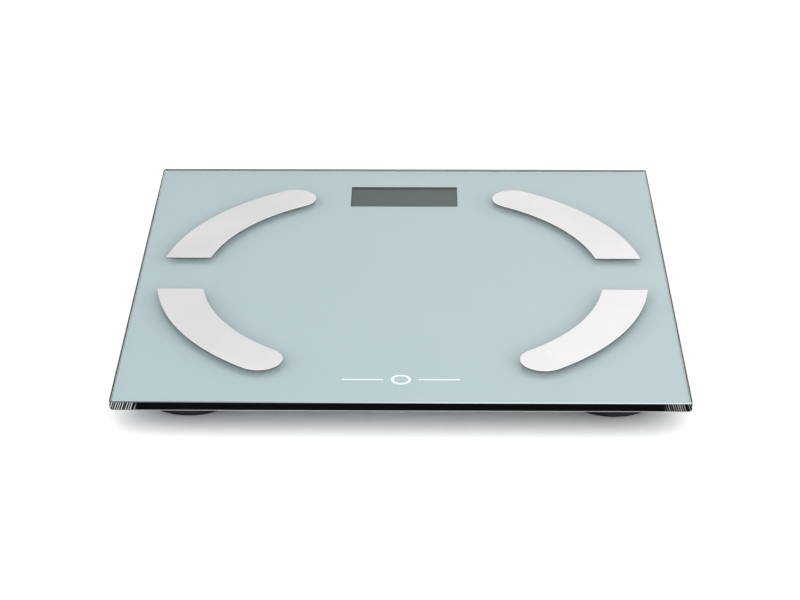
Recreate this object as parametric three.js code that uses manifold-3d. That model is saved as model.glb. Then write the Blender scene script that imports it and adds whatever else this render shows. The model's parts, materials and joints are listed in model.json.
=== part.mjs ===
// A slim glass bathroom scale that also measures body composition.
//
// Frame: millimetres, +Z up, origin on the floor under the middle of the platform.
// -Y is the side the user stands at, +Y is the far side, where the display is.
// Everything hangs from the glass platform: heights are worked out downwards from it.

import * as THREE from "three";
import { mergeVertices } from "three/addons/utils/BufferGeometryUtils.js";
import Module from "manifold-3d";

const wasm = await Module();
wasm.setup();

// ---------------------------------------------------------------- driving dimensions

// Glass platform and the printed film behind it
const PLATFORM_SIDE = 300;
const GLASS_THICKNESS = 5;
const UNDERSIDE_HEIGHT = 15; // floor to the underside of the glass
const CORNER_RADIUS = 2;
const EDGE_ARRIS = 0.4; // the small ground bevel on every edge of the glass
const BOND_GAP = 0.1;
const FILM_THICKNESS = 0.25;
const FILM_INSET = 0.6;

// Four steel electrodes, cut from one ring
const ELECTRODE_EDGE_MARGIN = 11.6; // ring to the edge of the glass
const ELECTRODE_WIDTH = 25.6;
const ELECTRODE_THICKNESS = 0.8;
const ELECTRODE_TAPE = 0.2;
const TAPE_INSET = 1;
const RING_CENTRE_Y = -4;
const RING_GAP = 40.4; // between the rear and the front electrode on one side
const RING_GAP_CENTRE_Y = -0.4;
const REAR_TIP_ANGLE = 58.3; // degrees from the X axis, to the centre of the round tip
const FRONT_TIP_ANGLE = 53.1;
const RING_STEPS = 18; // flats along an electrode's curved sides
const TIP_STEPS = 12; // flats round its tip
const STUD_ANGLE = 20;
const STUD_RADIUS = 1.5;
const STUD_HOLE_RADIUS = 2.5;
const STUD_PROTRUSION = 0.5; // the stud below its nut
const NUT_ACROSS_FLATS = 5.5;
const NUT_HEIGHT = 2.4;
const NUT_CLEARANCE = 0.07;
const TERMINAL_THICKNESS = 0.6;
const TERMINAL_RADIUS = 3.4;
const TERMINAL_FIT = 0.15; // stud to the hole in its ring terminal
const TERMINAL_TAB_LENGTH = 8;

// Display, behind a window in the print
const WINDOW_WIDTH = 64.5;
const WINDOW_DEPTH = 29;
const WINDOW_CORNER = 0.8;
const WINDOW_REAR_MARGIN = 38.3; // centre of the window to the rear edge of the glass
const LCD_RECESS = 1.6;
const LCD_THICKNESS = 1.8;
const LCD_BORDER = 1.2;
const BEZEL_WALL = 0.9;
const BEZEL_FIT = 0.25;
const BEZEL_LIP = 0.4; // the lip stops this far outside the printed window
const ZEBRA_LENGTH = 60;
const ZEBRA_WIDTH = 2.2;
const ZEBRA_HEIGHT = 1.8;

// Electronics pod
const POD_HALF_WIDTH = 58;
const POD_REAR_MARGIN = 17;
const POD_WALL = 1.5;
const POD_FLANGE = 2.8;
const POD_FLANGE_THICKNESS = 1.2;
const POD_TAPE = 0.4;
const POD_CORNER = 6;
const BOARD_THICKNESS = 1;
const BOARD_HALF_WIDTH = 48;
const BOARD_MAIN_LENGTH = 34;
const BOARD_REAR_GAP = 2.2; // board to the inside of the pod's rear wall
const BOARD_FRONT_GAP = 0.7;
const BOARD_WELL_GAP = 1.7; // main part of the board to the wall of the cell's well
const BOARD_TONGUE_GAP = 4.7; // tongue of the board to the wall of the cell's well
const CHIP_RADIUS = 4.5;
const CHIP_HEIGHT = 1.1;
const CHIP_OFFSET = 14; // chip to the switch, sideways
const SCREW_HEAD_RADIUS = 1.9;
const SCREW_HEAD_HEIGHT = 1.2;
const SCREW_RADIUS = 0.8;
const SCREW_LENGTH = 2.2; // below the board
const SCREW_INSET = 4; // board screw to the edges of the board
const SCREW_CROSS_LENGTH = 2.4;
const SCREW_CROSS_WIDTH = 0.5;
const SCREW_CROSS_DEPTH = 0.5;
const BOSS_RADIUS = 3;

// Coin cell, its contacts and its door
const CELL_RADIUS = 10;
const CELL_THICKNESS = 3.2;
const CELL_SHOULDER = 1.2; // rim of the can round its raised lid
const CELL_X = 30;
const CELL_FRONT_GAP = 0.7;
const CELL_FIT = 0.3;
const CONTACT_THICKNESS = 0.3;
const CONTACT_OVERHANG = 9.5; // from the side of the can to the end that is soldered to the board
const POSITIVE_CONTACT_WIDTH = 4;
const NEGATIVE_CONTACT_WIDTH = 3;
const CONTACT_SPREAD = 20; // degrees that each contact is turned away from the -X direction
const DOOR_SIDE_MARGIN = 2.8; // door beyond the cell, to each side
const DOOR_TONGUE = 1;
const DOOR_THICKNESS = 1.6;
const DOOR_REAR_MARGIN = 1.8; // door beyond the cell
const DOOR_LIP = 0.7; // thickness of the lips that the door's tongues run on
const DOOR_SIDE_FIT = 0.2;
const DOOR_LIP_FIT = 0.1;
const GRIP_START = 3; // door's front edge to its first grip groove
const GRIP_LENGTH = 10;
const GRIP_WIDTH = 1;
const GRIP_DEPTH = 0.4;

// Unit button under the pod
const SWITCH_X = -22;
const SWITCH_SIDE = 5.2;
const SWITCH_HEIGHT = 1.5;
const PLUNGER_RADIUS = 1;
const PLUNGER_FIT = 0.12;
const PLUNGER_SPARE = 0.1; // room over the plunger when the button is pressed home
const PLUNGER_ENTRY = 0.6; // how far the plunger reaches into the switch at rest
const BUTTON_RADIUS = 4;
const BUTTON_FIT = 0.25;
const BUTTON_FLANGE = 1;
const BUTTON_FLANGE_THICKNESS = 0.35;
const BUTTON_TRAVEL = 0.5;
const BUTTON_RECESS = 0.2;

// Foot modules
const FOOT_SIDE_MARGIN = 38.5; // centre of a foot to the left or right edge of the glass
const FOOT_END_MARGIN = 46; // centre of a foot to the front or rear edge of the glass
const FOOT_RADIUS = 26;
const PAD_MARGIN = 1; // the cap reaches this far beyond the pad
const PAD_THICKNESS = 1.3;
const PAD_RECESS = 0.5;
const PAD_FIT = 0.2;
const CAP_FLOOR_THICKNESS = 1.4;
const CAP_WALL = 1.5;
const CAP_STEP = 0.8; // the neck is this much smaller in radius than the foot
const CAP_CLIP_HEIGHT = 0.9;
const CAP_BOSS_RADIUS = 4;
const FOOT_PLAY = 0.8; // how far the foot drops when the scale is lifted
const HOLDER_FIT = 0.4; // foot to the inside of the holder
const HOLDER_WALL = 1.6;
const HOLDER_PLATE = 1.5;
const HOLDER_FLOOR_CLEARANCE = 5.5;
const HOLDER_TAPE = 0.4;
const HOLDER_LIP = 0.9;
const HOLDER_LIP_HEIGHT = 1;
const CELL_SEAT_HEIGHT = 0.8;
const CELL_SEAT_WIDTH = 3;
const LOAD_CELL_SIDE = 34;
const LOAD_CELL_THICKNESS = 1.8;
const LOAD_CELL_FRAME = 5;
const LOAD_CELL_SLOT = 2.4;
const LOAD_CELL_CORNER = 3;

// Wiring
const LOAD_LEAD_RADIUS = 0.9;
const ELECTRODE_LEAD_RADIUS = 0.6;
const CHANNEL_FOOT_OFFSET = 31.5; // channel to foot centre, sideways
const CHANNEL_INNER_WIDTH = 6.4;
const CHANNEL_DEPTH = 3;
const CHANNEL_WALL = 0.8;
const LANE_SPREAD = 1.65;
const BEND_RADIUS = 5;
const LEAD_STEP = 6;
const LEAD_SIDES = 8;

// Clearances
const TOUCH = 0.05; // between parts that rest on each other
const HAIR = 0.02; // between parts that bear on each other through a thin end
const EDGE_BREAK = 0.4; // small chamfer on turned parts
const FREE = 0.3; // between parts that only pass each other

// ---------------------------------------------------------------- dependent heights

const glassBottom = UNDERSIDE_HEIGHT;
const glassTop = glassBottom + GLASS_THICKNESS;
const filmTop = glassBottom - BOND_GAP;
const filmBottom = filmTop - FILM_THICKNESS;

const lcdTop = filmTop - LCD_RECESS;
const lcdBottom = lcdTop - LCD_THICKNESS;
const boardTop = lcdBottom - ZEBRA_HEIGHT;
const boardBottom = boardTop - BOARD_THICKNESS;
const cellTop = boardTop;
const cellBottom = cellTop - CELL_THICKNESS;
const doorTop = cellBottom - FREE;
const podBottom = doorTop - DOOR_THICKNESS;
const podFloorTop = podBottom + POD_WALL;
const podTop = filmBottom - POD_TAPE;
const contactBottom = cellTop + TOUCH;
const contactTop = contactBottom + CONTACT_THICKNESS;
const wellCeiling = contactTop + 2 * FREE;

const holderTop = filmBottom - HOLDER_TAPE;
const holderPlateBottom = holderTop - HOLDER_PLATE;
const loadCellTop = holderPlateBottom - CELL_SEAT_HEIGHT - TOUCH;
const loadCellBottom = loadCellTop - LOAD_CELL_THICKNESS;
const capBottom = PAD_THICKNESS - PAD_RECESS;
const capBaseTop = HOLDER_FLOOR_CLEARANCE - FREE * 3;

const terminalTop = filmBottom - TOUCH;
const terminalBottom = terminalTop - TERMINAL_THICKNESS;
const nutTop = terminalBottom - TOUCH;
const nutBottom = nutTop - NUT_HEIGHT;
const studBottom = nutBottom - STUD_PROTRUSION;

// ---------------------------------------------------------------- dependent plan positions

const halfSide = PLATFORM_SIDE / 2;
const ringRadius = halfSide - ELECTRODE_EDGE_MARGIN - ELECTRODE_WIDTH / 2;
const windowY = halfSide - WINDOW_REAR_MARGIN;
const podRear = halfSide - POD_REAR_MARGIN;
const wellRadius = CELL_RADIUS + CELL_FIT + POD_WALL;
const contactReach = CELL_RADIUS + CONTACT_OVERHANG;
const podWallX = POD_HALF_WIDTH - POD_FLANGE;
const podWallRear = podRear - POD_FLANGE;
const boardRear = podWallRear - POD_WALL - BOARD_REAR_GAP;
const boardMainFront = boardRear - BOARD_MAIN_LENGTH;
const cellY = boardMainFront - BOARD_WELL_GAP - wellRadius;
const podWallFront = cellY - CELL_RADIUS - CELL_FRONT_GAP - POD_WALL;
const podFront = podWallFront - POD_FLANGE;
const boardTongueFront = podWallFront + POD_WALL + BOARD_FRONT_GAP;
const boardTongueRight = CELL_X - wellRadius - BOARD_TONGUE_GAP;
const switchY = cellY;
const footX = halfSide - FOOT_SIDE_MARGIN;
const footY = halfSide - FOOT_END_MARGIN;
const channelX = footX - CHANNEL_FOOT_OFFSET;
const leadPadX = BOARD_HALF_WIDTH - 3;
const notchFront = boardMainFront + 0.5;
const notchRear = notchFront + 14;

const studs = {
  rear: studPosition(1),
  front: studPosition(-1),
};
const channelFront = studs.front.y + 7;
const channelRear = footY - 43.5;

// The stud of an electrode on the right-hand side, end = 1 at the rear and -1 at the front.
function studPosition(end) {
  const angle = THREE.MathUtils.degToRad(STUD_ANGLE);
  return {
    x: ringRadius * Math.cos(angle),
    y: RING_CENTRE_Y + end * ringRadius * Math.sin(angle),
  };
}

// ---------------------------------------------------------------- materials

function material(color, roughness, metalness, extra = {}) {
  return new THREE.MeshStandardMaterial({ color, roughness, metalness, ...extra });
}

const materials = {
  glass: material(0xd8e8e6, 0.04, 0, { transparent: true, opacity: 0.35 }),
  print: material(0xb9cacb, 0.45, 0),
  steel: material(0xe4e6e8, 0.32, 1),
  nutSteel: material(0xb8bcc0, 0.35, 1),
  tape: material(0x3a3c3e, 0.8, 0),
  blackPlastic: material(0x17181a, 0.5, 0),
  greyPlastic: material(0x5c6064, 0.5, 0),
  rubber: material(0x101112, 0.85, 0),
  lcd: material(0x6b726e, 0.25, 0),
  silicone: material(0xc8a8a0, 0.6, 0),
  board: material(0x1f5a36, 0.45, 0),
  epoxy: material(0x0c0c0d, 0.3, 0),
  nickel: material(0xc9c6bd, 0.28, 1),
  cellSteel: material(0xcfd1d3, 0.25, 1),
  loadCellSteel: material(0x9a9ea2, 0.4, 1),
  redWire: material(0xa52a24, 0.45, 0),
  whiteWire: material(0xd9d8d2, 0.45, 0),
};

// ---------------------------------------------------------------- shape helpers

// A closed geometry as a solid that can be joined and cut.
function toSolid(geometry) {
  const soup = geometry.index ? geometry.toNonIndexed() : geometry.clone();
  soup.deleteAttribute("normal");
  soup.deleteAttribute("uv");
  const merged = mergeVertices(soup, 1e-4);
  return new wasm.Manifold(
    new wasm.Mesh({
      numProp: 3,
      vertProperties: merged.attributes.position.array,
      triVerts: new Uint32Array(merged.index.array),
    }),
  );
}

// A solid as a flat-shaded geometry.
function toGeometry(solid) {
  const { vertProperties, triVerts } = solid.getMesh();
  const indexed = new THREE.BufferGeometry();
  indexed.setAttribute("position", new THREE.BufferAttribute(vertProperties, 3));
  indexed.setIndex(new THREE.BufferAttribute(triVerts, 1));
  const geometry = indexed.toNonIndexed();
  geometry.computeVertexNormals();
  return geometry;
}

// One geometry less the others.
function cut(body, ...tools) {
  let solid = toSolid(body);
  for (const tool of tools) solid = solid.subtract(toSolid(tool));
  return toGeometry(solid);
}

// Several geometries as one.
function join(...bodies) {
  let solid = toSolid(bodies[0]);
  for (const body of bodies.slice(1)) solid = solid.add(toSolid(body));
  return toGeometry(solid);
}

// A flat outline raised between two heights.
function slab(outline, bottom, top, curveSegments = 3) {
  const geometry = new THREE.ExtrudeGeometry(outline, {
    depth: top - bottom,
    bevelEnabled: false,
    curveSegments,
  });
  return geometry.translate(0, 0, bottom);
}

// A box between two corners.
function block(x0, x1, y0, y1, z0, z1) {
  const geometry = new THREE.BoxGeometry(x1 - x0, y1 - y0, z1 - z0);
  return geometry.translate((x0 + x1) / 2, (y0 + y1) / 2, (z0 + z1) / 2);
}

// An upright cylinder.
function disc(x, y, radius, bottom, top, sides = 16) {
  const geometry = new THREE.CylinderGeometry(radius, radius, top - bottom, sides);
  geometry.rotateX(Math.PI / 2);
  return geometry.translate(x, y, (bottom + top) / 2);
}

// A closed profile of [radius, height] points turned about an upright axis.
function turned(x, y, profile, sides = 24) {
  const points = profile.map(([radius, height]) => new THREE.Vector2(radius, height));
  const geometry = new THREE.LatheGeometry(points, sides);
  geometry.rotateX(Math.PI / 2);
  return geometry.translate(x, y, 0);
}

// A rectangle with round corners, drawn into a Shape or a Path.
function roundedRectangle(path, x, y, width, depth, radius) {
  const right = x + width / 2 - radius;
  const left = x - width / 2 + radius;
  const rear = y + depth / 2 - radius;
  const front = y - depth / 2 + radius;
  path.absarc(right, rear, radius, 0, Math.PI / 2, false);
  path.absarc(left, rear, radius, Math.PI / 2, Math.PI, false);
  path.absarc(left, front, radius, Math.PI, 1.5 * Math.PI, false);
  path.absarc(right, front, radius, 1.5 * Math.PI, 2 * Math.PI, false);
  path.closePath();
  return path;
}

// A round wire through the points, with each corner rounded.
function wire(points, radius) {
  const path = new THREE.CurvePath();
  let start = points[0];
  for (let i = 1; i < points.length - 1; i += 1) {
    const corner = points[i];
    const before = corner.clone().sub(points[i - 1]);
    const after = points[i + 1].clone().sub(corner);
    const trim = Math.min(BEND_RADIUS, before.length() / 2.2, after.length() / 2.2);
    const bendStart = corner.clone().sub(before.setLength(trim));
    const bendEnd = corner.clone().add(after.setLength(trim));
    path.add(new THREE.LineCurve3(start, bendStart));
    path.add(new THREE.QuadraticBezierCurve3(bendStart, corner, bendEnd));
    start = bendEnd;
  }
  path.add(new THREE.LineCurve3(start, points.at(-1)));
  const section = new THREE.Shape();
  section.absarc(0, 0, radius, 0, 2 * Math.PI, false);
  return new THREE.ExtrudeGeometry(section, {
    extrudePath: path,
    steps: Math.ceil(path.getLength() / LEAD_STEP),
    curveSegments: LEAD_SIDES / 2,
    bevelEnabled: false,
  });
}

// ---------------------------------------------------------------- assembly

const scale = new THREE.Group();

function add(name, geometry, look) {
  const mesh = new THREE.Mesh(geometry, look);
  mesh.name = name;
  scale.add(mesh);
}

const corners = [
  { name: "rear_left", side: -1, end: 1 },
  { name: "rear_right", side: 1, end: 1 },
  { name: "front_left", side: -1, end: -1 },
  { name: "front_right", side: 1, end: -1 },
];

function studAt({ side, end }) {
  const stud = end > 0 ? studs.rear : studs.front;
  return { x: side * stud.x, y: stud.y };
}

function studHoles(radius, bottom, top) {
  return corners.map((corner) => {
    const { x, y } = studAt(corner);
    return disc(x, y, radius, bottom, top);
  });
}

// Glass plate with a ground arris all round and four holes for the electrode studs.
function glassPlatform() {
  const inner = PLATFORM_SIDE - 2 * EDGE_ARRIS;
  const outline = roundedRectangle(new THREE.Shape(), 0, 0, inner, inner, CORNER_RADIUS - EDGE_ARRIS);
  const plate = new THREE.ExtrudeGeometry(outline, {
    depth: GLASS_THICKNESS - 2 * EDGE_ARRIS,
    bevelThickness: EDGE_ARRIS,
    bevelSize: EDGE_ARRIS,
    bevelSegments: 1,
    curveSegments: 4,
  });
  plate.translate(0, 0, glassBottom + EDGE_ARRIS);
  return cut(plate, ...studHoles(STUD_HOLE_RADIUS, glassBottom - 1, glassTop + 1));
}

// Printed film behind the glass, with the display window and the stud holes.
function backingFilm() {
  const side = PLATFORM_SIDE - 2 * FILM_INSET;
  const outline = roundedRectangle(new THREE.Shape(), 0, 0, side, side, CORNER_RADIUS);
  const opening = new THREE.Path();
  outline.holes.push(
    roundedRectangle(opening, 0, windowY, WINDOW_WIDTH, WINDOW_DEPTH, WINDOW_CORNER),
  );
  const sheet = slab(outline, filmBottom, filmTop, 3);
  return cut(sheet, ...studHoles(STUD_HOLE_RADIUS + FREE, filmBottom - 1, filmTop + 1));
}

add("glass_platform", glassPlatform(), materials.glass);
add("printed_backing_film", backingFilm(), materials.print);

// Outline of one electrode: a length of ring, cut square at one end and round at the other.
// The inset draws the same outline that much smaller, for the tape under it.
function electrodeOutline({ side, end }, inset) {
  const outer = ringRadius + ELECTRODE_WIDTH / 2 - inset;
  const inner = ringRadius - ELECTRODE_WIDTH / 2 + inset;
  const cutY = Math.abs(RING_GAP_CENTRE_Y + (end * RING_GAP) / 2 - RING_CENTRE_Y) + inset;
  const tip = THREE.MathUtils.degToRad(end > 0 ? REAR_TIP_ANGLE : FRONT_TIP_ANGLE);
  const outline = new THREE.Shape();
  const at = (x, y) => new THREE.Vector2(side * x, RING_CENTRE_Y + end * y);
  const arc = (radius, from, to, count, x = 0, y = 0) =>
    Array.from({ length: count + 1 }, (_, i) => {
      const angle = from + ((to - from) * i) / count;
      return at(x + radius * Math.cos(angle), y + radius * Math.sin(angle));
    });
  outline.setFromPoints([
    ...arc(outer, Math.asin(cutY / outer), tip, RING_STEPS),
    ...arc(
      (outer - inner) / 2,
      tip,
      tip + Math.PI,
      TIP_STEPS,
      ringRadius * Math.cos(tip),
      ringRadius * Math.sin(tip),
    ).slice(1, -1),
    ...arc(inner, tip, Math.asin(cutY / inner), RING_STEPS),
  ]);
  return outline;
}

// Steel electrode with a threaded stud welded under it.
function electrode(corner) {
  const bottom = glassTop + ELECTRODE_TAPE;
  const plate = slab(electrodeOutline(corner, 0), bottom, bottom + ELECTRODE_THICKNESS);
  const { x, y } = studAt(corner);
  return join(plate, disc(x, y, STUD_RADIUS, studBottom, bottom + ELECTRODE_THICKNESS / 2));
}

// Double-sided tape between an electrode and the glass.
function electrodeTape(corner) {
  const sheet = slab(electrodeOutline(corner, TAPE_INSET), glassTop, glassTop + ELECTRODE_TAPE);
  const { x, y } = studAt(corner);
  return cut(sheet, disc(x, y, STUD_HOLE_RADIUS, glassTop - 1, glassTop + 1));
}

function electrodeNut(corner) {
  const { x, y } = studAt(corner);
  const hexagon = disc(x, y, NUT_ACROSS_FLATS / 2 / Math.cos(Math.PI / 6), nutBottom, nutTop, 6);
  return cut(hexagon, disc(x, y, STUD_RADIUS + NUT_CLEARANCE, nutBottom - 1, nutTop + 1));
}

for (const corner of corners) {
  add(`electrode_${corner.name}`, electrode(corner), materials.steel);
  add(`electrode_tape_${corner.name}`, electrodeTape(corner), materials.tape);
  add(`electrode_nut_${corner.name}`, electrodeNut(corner), materials.nutSteel);
}

// ---------------------------------------------------------------- electronics pod

const doorHalfWidth = CELL_RADIUS + DOOR_SIDE_MARGIN;
const doorSlot = doorHalfWidth + DOOR_SIDE_FIT;
const doorFront = podWallFront + DOOR_SIDE_FIT;
const doorRear = cellY + CELL_RADIUS + DOOR_REAR_MARGIN;
const doorLipTop = podBottom + DOOR_LIP;
const doorBlockTop = doorTop + FREE + DOOR_LIP;
const screwY = boardRear - SCREW_INSET;
const screwX = BOARD_HALF_WIDTH - SCREW_INSET;

// The cell's own compartment: a round well with a ceiling, open towards the door.
function cellWell() {
  const outer = disc(CELL_X, cellY, wellRadius, podBottom, wellCeiling + 1, 32);
  const rails = block(
    CELL_X - doorSlot - DOOR_TONGUE - POD_WALL / 2,
    CELL_X + doorSlot + DOOR_TONGUE + POD_WALL / 2,
    podWallFront,
    doorRear + DOOR_SIDE_FIT + POD_WALL,
    podBottom,
    doorBlockTop,
  );
  return [outer, rails];
}

// A slot through the well's wall for one contact, turned about the cell's axis.
function contactSlot(width, bottom, turn) {
  const reach = CELL_RADIUS + CELL_FIT + POD_WALL + 1;
  const slot = block(-reach, -CELL_RADIUS + 1, -width / 2, width / 2, bottom, wellCeiling);
  return slot.rotateZ(THREE.MathUtils.degToRad(turn)).translate(CELL_X, cellY, 0);
}

function podHousing() {
  const width = 2 * podWallX;
  const depth = podWallRear - podWallFront;
  const middleY = (podWallRear + podWallFront) / 2;
  const shell = slab(
    roundedRectangle(new THREE.Shape(), 0, middleY, width, depth, POD_CORNER - POD_FLANGE),
    podBottom,
    podTop,
  );
  const flange = slab(
    roundedRectangle(
      new THREE.Shape(), 0, middleY, width + 2 * POD_FLANGE, depth + 2 * POD_FLANGE, POD_CORNER,
    ),
    podTop - POD_FLANGE_THICKNESS,
    podTop,
  );
  const hollow = slab(
    roundedRectangle(new THREE.Shape(), 0, middleY, width - 2 * POD_WALL, depth - 2 * POD_WALL, 1.5),
    podFloorTop,
    podTop + 1,
  );
  const tray = cut(join(shell, flange), hollow);
  const bosses = [-1, 1].map((side) =>
    disc(side * screwX, screwY, BOSS_RADIUS, podBottom + 1, boardBottom - TOUCH));
  const tools = [
    ...[-1, 1].map((side) => disc(side * screwX, screwY, SCREW_RADIUS + TOUCH, podFloorTop, boardTop, 16)),
    // the door's channel: a slot with a wider groove above its lips
    block(
      CELL_X - doorSlot,
      CELL_X + doorSlot,
      podWallFront - 1,
      doorRear + DOOR_SIDE_FIT,
      podBottom - 1,
      doorTop + FREE,
    ),
    block(
      CELL_X - doorSlot - DOOR_TONGUE,
      CELL_X + doorSlot + DOOR_TONGUE,
      podWallFront - 1,
      doorRear + DOOR_SIDE_FIT,
      doorLipTop,
      doorTop + FREE,
    ),
    disc(CELL_X, cellY, CELL_RADIUS + CELL_FIT, doorTop, wellCeiling, 32),
    contactSlot(POSITIVE_CONTACT_WIDTH + 2 * FREE, doorTop + FREE, CONTACT_SPREAD),
    contactSlot(NEGATIVE_CONTACT_WIDTH + 2 * FREE, contactBottom - FREE, -CONTACT_SPREAD),
    disc(SWITCH_X, switchY, BUTTON_RADIUS + BUTTON_FIT, podBottom - 1, podFloorTop + 1, 24),
    // notches where the leads come in
    block(-POD_HALF_WIDTH - 1, -podWallX + POD_WALL + 1, notchFront, notchRear, podTop - 3, podTop + 1),
    block(podWallX - POD_WALL - 1, POD_HALF_WIDTH + 1, notchFront, notchRear, podTop - 3, podTop + 1),
  ];
  return cut(join(tray, ...cellWell(), ...bosses), ...tools);
}

function podSealTape() {
  const middleY = (podRear + podFront) / 2;
  const outline = roundedRectangle(new THREE.Shape(), 0, middleY, 2 * POD_HALF_WIDTH, podRear - podFront, POD_CORNER);
  const band = POD_FLANGE + POD_WALL;
  outline.holes.push(
    roundedRectangle(new THREE.Path(), 0, middleY, 2 * (POD_HALF_WIDTH - band), podRear - podFront - 2 * band, 1.5),
  );
  return slab(outline, podTop, filmBottom);
}

const lcdWidth = WINDOW_WIDTH + 2 * LCD_BORDER;
const lcdDepth = WINDOW_DEPTH + 2 * LCD_BORDER;

function lcdPanel() {
  const x = lcdWidth / 2;
  const y = lcdDepth / 2;
  return block(-x, x, windowY - y, windowY + y, lcdBottom, lcdTop);
}

// Frame round the display: a pocket for the panel, with a lip over its border.
function lcdBezelFrame() {
  const pocketX = lcdWidth / 2 + BEZEL_FIT;
  const pocketY = lcdDepth / 2 + BEZEL_FIT;
  const outerX = pocketX + BEZEL_WALL;
  const outerY = pocketY + BEZEL_WALL;
  const lipX = WINDOW_WIDTH / 2 + BEZEL_LIP;
  const lipY = WINDOW_DEPTH / 2 + BEZEL_LIP;
  const bottom = boardTop + TOUCH;
  const top = filmBottom - TOUCH;
  return cut(
    block(-outerX, outerX, windowY - outerY, windowY + outerY, bottom, top),
    block(-pocketX, pocketX, windowY - pocketY, windowY + pocketY, bottom - 1, lcdTop + TOUCH),
    block(-lipX, lipX, windowY - lipY, windowY + lipY, lcdTop - 1, top + 1),
  );
}

function zebraStrip() {
  const x = ZEBRA_LENGTH / 2;
  const front = windowY - lcdDepth / 2 + ZEBRA_WIDTH / 2;
  return block(-x, x, front, front + ZEBRA_WIDTH, boardTop, lcdBottom);
}

// Circuit board with a tongue that reaches forward beside the cell's well.
function circuitBoard() {
  const outline = new THREE.Shape();
  outline.moveTo(-BOARD_HALF_WIDTH, boardTongueFront);
  outline.lineTo(boardTongueRight, boardTongueFront);
  outline.lineTo(boardTongueRight, boardMainFront);
  outline.lineTo(BOARD_HALF_WIDTH, boardMainFront);
  outline.lineTo(BOARD_HALF_WIDTH, boardRear);
  outline.lineTo(-BOARD_HALF_WIDTH, boardRear);
  outline.closePath();
  const holes = [-1, 1].map((side) =>
    disc(side * screwX, screwY, SCREW_RADIUS + FREE, boardBottom - 1, boardTop + 1),
  );
  return cut(slab(outline, boardBottom, boardTop), ...holes);
}

// Controller chip under a drop of epoxy.
function controllerChip() {
  const dome = Array.from({ length: 6 }, (_, i) => {
    const angle = (i * Math.PI) / 10;
    return [CHIP_RADIUS * Math.cos(angle), boardTop + CHIP_HEIGHT * Math.sin(angle)];
  });
  dome[5][0] = 0;
  return turned(SWITCH_X - CHIP_OFFSET, switchY, [[0, boardTop], ...dome]);
}

function boardScrew(side) {
  const headTop = boardTop + TOUCH + SCREW_HEAD_HEIGHT;
  const head = disc(side * screwX, screwY, SCREW_HEAD_RADIUS, boardTop + TOUCH, headTop);
  const crossBottom = headTop - SCREW_CROSS_DEPTH;
  const shank = disc(side * screwX, screwY, SCREW_RADIUS, boardBottom - SCREW_LENGTH, crossBottom);
  const long = SCREW_CROSS_LENGTH / 2;
  const thin = SCREW_CROSS_WIDTH / 2;
  const cross = [
    block(-long, long, -thin, thin, crossBottom, headTop + 1),
    block(-thin, thin, -long, long, crossBottom, headTop + 1),
  ].map((bar) => bar.translate(side * screwX, screwY, 0));
  return cut(join(head, shank), ...cross);
}

// Button cell: a can with a raised lid of smaller radius, which faces up into the well.
function coinCell() {
  const shoulder = cellTop - EDGE_BREAK;
  const lid = CELL_RADIUS - CELL_SHOULDER;
  return turned(
    CELL_X,
    cellY,
    [[0, cellBottom], [CELL_RADIUS - EDGE_BREAK, cellBottom], [CELL_RADIUS, cellBottom + EDGE_BREAK],
      [CELL_RADIUS, shoulder], [lid, shoulder], [lid, cellTop], [0, cellTop]],
    32,
  );
}

// Side spring against the can, with a foot that runs to the board.
function positiveContact() {
  const near = CELL_RADIUS + TOUCH;
  const profile = new THREE.Shape();
  profile.moveTo(-near, cellBottom + EDGE_BREAK);
  profile.lineTo(-near, contactTop);
  profile.lineTo(-contactReach, contactTop);
  profile.lineTo(-contactReach, contactBottom);
  profile.lineTo(-near - CONTACT_THICKNESS, contactBottom);
  profile.lineTo(-near - CONTACT_THICKNESS, cellBottom + EDGE_BREAK);
  profile.closePath();
  const strip = new THREE.ExtrudeGeometry(profile, { depth: POSITIVE_CONTACT_WIDTH, bevelEnabled: false });
  strip.translate(0, 0, -POSITIVE_CONTACT_WIDTH / 2).rotateX(Math.PI / 2);
  return strip.rotateZ(THREE.MathUtils.degToRad(CONTACT_SPREAD)).translate(CELL_X, cellY, 0);
}

// Leaf across the top of the cell to the board.
function negativeContact() {
  const half = NEGATIVE_CONTACT_WIDTH / 2;
  const leaf = block(-contactReach, 4, -half, half, contactBottom, contactTop);
  return leaf.rotateZ(THREE.MathUtils.degToRad(-CONTACT_SPREAD)).translate(CELL_X, cellY, 0);
}

// Door that slides out towards the user, held by a tongue along each side.
function batteryDoor() {
  const lower = block(
    CELL_X - doorHalfWidth, CELL_X + doorHalfWidth, doorFront, doorRear, podBottom, doorTop,
  );
  const tongue = doorHalfWidth + DOOR_TONGUE;
  const tongueBottom = doorLipTop + DOOR_LIP_FIT;
  const wide = block(CELL_X - tongue, CELL_X + tongue, doorFront, doorRear, tongueBottom, doorTop);
  const grip = [0, 1, 2].map((i) => {
    const y = doorFront + GRIP_START + 2 * GRIP_WIDTH * i;
    const x = GRIP_LENGTH / 2;
    const groove = block(-x, x, y, y + GRIP_WIDTH, podBottom - 1, podBottom + GRIP_DEPTH);
    return groove.translate(CELL_X, 0, 0);
  });
  return cut(join(lower, wide), ...grip);
}

const switchBottom = boardBottom - SWITCH_HEIGHT;
const buttonFlangeTop = podFloorTop + TOUCH + BUTTON_FLANGE_THICKNESS;
const plungerTop = switchBottom + PLUNGER_ENTRY;

// Low switch under the board, with a blind hole for its plunger.
function tactSwitch() {
  const half = SWITCH_SIDE / 2;
  const body = block(-half, half, -half, half, switchBottom, boardBottom).translate(SWITCH_X, switchY, 0);
  const holeTop = plungerTop + BUTTON_TRAVEL + PLUNGER_SPARE;
  const hole = disc(SWITCH_X, switchY, PLUNGER_RADIUS + PLUNGER_FIT, switchBottom - 1, holeTop, 24);
  return cut(body, hole);
}

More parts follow.
